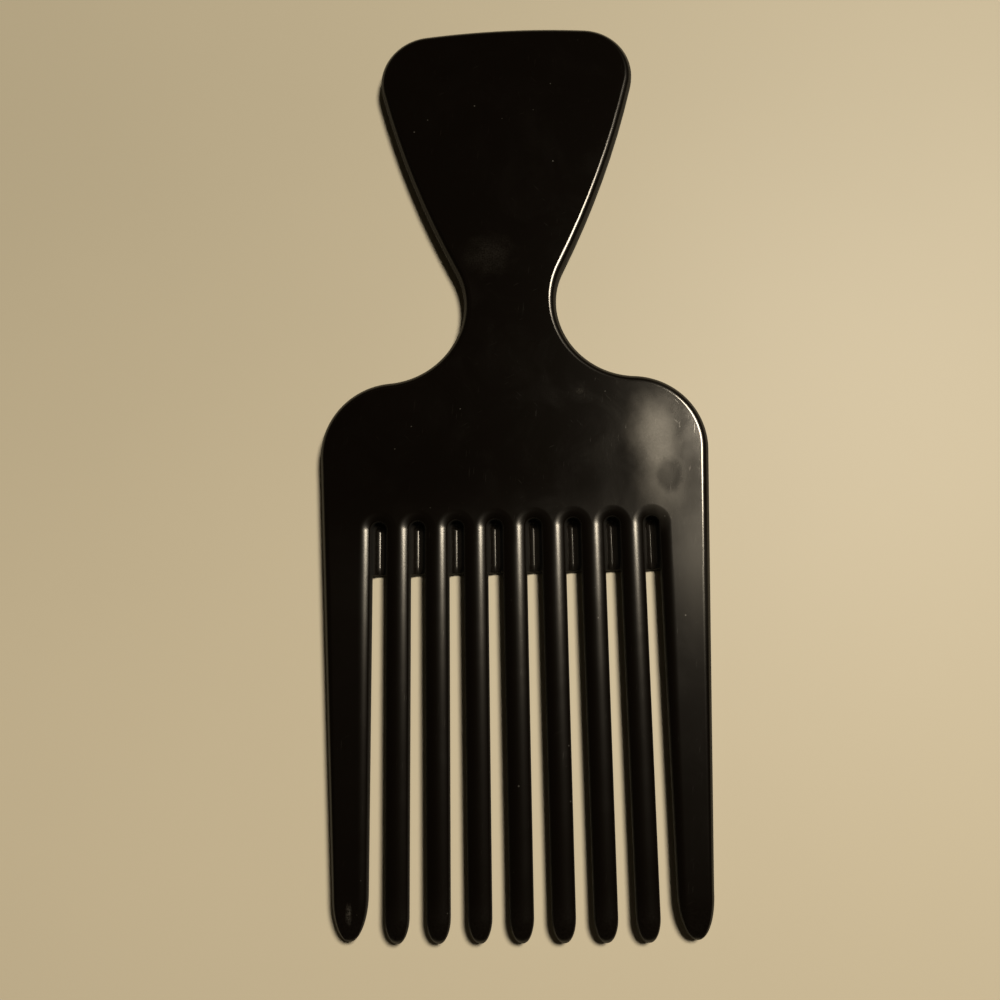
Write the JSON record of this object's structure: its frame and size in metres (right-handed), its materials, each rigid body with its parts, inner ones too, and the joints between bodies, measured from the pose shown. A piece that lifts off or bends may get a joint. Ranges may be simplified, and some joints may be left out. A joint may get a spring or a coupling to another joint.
{
  "type": "afro pick",
  "caption": "Flat moulded plastic hair pick with long rounded teeth, broad guard teeth at the sides, webbed roots, a round-shouldered head, a waisted neck and a fan-shaped grip.",
  "frame": {"origin": "middle of the footprint, on the plane of the flat back face", "axes": "+Y along the pick from the tooth tips to the grip, +X across the teeth to the right as seen from the front, +Z out of the front face"},
  "size_m": [0.071, 0.171, 0.0042],
  "materials": {
    "black_plastic": "satin gloss, as moulded"
  },
  "bodies": {
    "root": {"grip_paddle": "black_plastic", "neck": "black_plastic", "head_plate": "black_plastic", "guard_tooth_left": "black_plastic", "guard_tooth_right": "black_plastic", "tooth_1": "black_plastic", "tooth_2": "black_plastic", "tooth_3": "black_plastic", "tooth_4": "black_plastic", "tooth_5": "black_plastic", "tooth_6": "black_plastic", "tooth_7": "black_plastic", "root_web_1": "black_plastic", "root_web_2": "black_plastic", "root_web_3": "black_plastic", "root_web_4": "black_plastic", "root_web_5": "black_plastic", "root_web_6": "black_plastic", "root_web_7": "black_plastic", "root_web_8": "black_plastic"}
  },
  "joints": []
}
